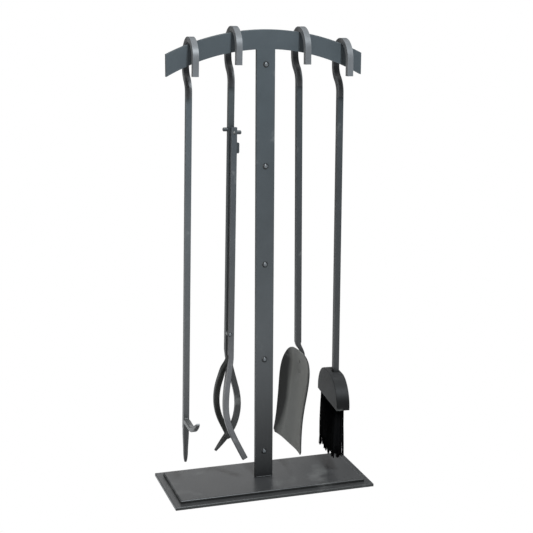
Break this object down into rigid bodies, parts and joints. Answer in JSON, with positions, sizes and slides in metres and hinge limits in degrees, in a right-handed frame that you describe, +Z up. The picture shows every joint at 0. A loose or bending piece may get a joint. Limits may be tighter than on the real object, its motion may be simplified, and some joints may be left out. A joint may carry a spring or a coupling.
{
  "type": "fireplace tool set",
  "caption": "Arched hanging stand on a stepped rectangular base, with a poker, log tongs, shovel and brush hooked over its bar; square-bar tools in dark painted steel.",
  "frame": {"origin": "centre of the base's underside, on the surface the stand rests on", "axes": "+Z up along the post, +X along the hanging bar towards the brush, -Y is the front where the hooks' short legs hang"},
  "size_m": [0.357, 0.16, 0.7952],
  "materials": {
    "stand": "satin gunmetal powder coat",
    "tools": "satin gunmetal paint over forged bar",
    "pan": "satin graphite paint over pressed sheet",
    "cover": "satin gunmetal paint",
    "rivets": "satin paint, burnished crown",
    "screws": "zinc-plated",
    "feet": "matt",
    "block": "matt black",
    "bristles": "black synthetic fibre"
  },
  "bodies": {
    "stand": {"base_plate": "stand", "base_panel": "stand", "base_screws": "screws", "base_feet": "feet", "arch_bar": "stand", "post_front_strap": "stand", "post_rear_strap": "stand", "post_rivets": "rivets", "post_foot_weld": "stand"},
    "poker": {"poker_hook": "tools", "poker_shaft": "tools", "poker_spur": "tools"},
    "tongs": {"tongs_hook": "tools", "tongs_main_bar": "tools", "tongs_pivot_rivet": "rivets", "tongs_pivot_washer": "screws", "tongs_left_peg": "tools"},
    "tongs_arm": {"tongs_rein": "tools", "tongs_rear_tine": "tools", "tongs_rein_lug": "tools", "tongs_right_peg": "tools"},
    "shovel": {"shovel_hook": "tools", "shovel_shaft": "tools", "shovel_pan": "pan", "shovel_rivets": "rivets"},
    "brush": {"brush_hook": "tools", "brush_shaft": "tools", "brush_cover": "cover", "brush_block": "block", "brush_screw": "screws", "brush_bristles": "bristles"}
  },
  "joints": [
    {"name": "poker_lift", "type": "slide", "parent": "stand", "child": "poker", "axis": [0, 0, 1], "range_m": [0, 0.06]},
    {"name": "tongs_lift", "type": "slide", "parent": "stand", "child": "tongs", "axis": [0, 0, 1], "range_m": [0, 0.06]},
    {"name": "shovel_lift", "type": "slide", "parent": "stand", "child": "shovel", "axis": [0, 0, 1], "range_m": [0, 0.06]},
    {"name": "brush_lift", "type": "slide", "parent": "stand", "child": "brush", "axis": [0, 0, 1], "range_m": [0, 0.06]},
    {"name": "tongs_open", "type": "hinge", "parent": "tongs", "child": "tongs_arm", "pos_m": [-0.06249, -0.0008, 0.27806], "axis": [0, 1, 0], "range_deg": [0, 4]}
  ]
}
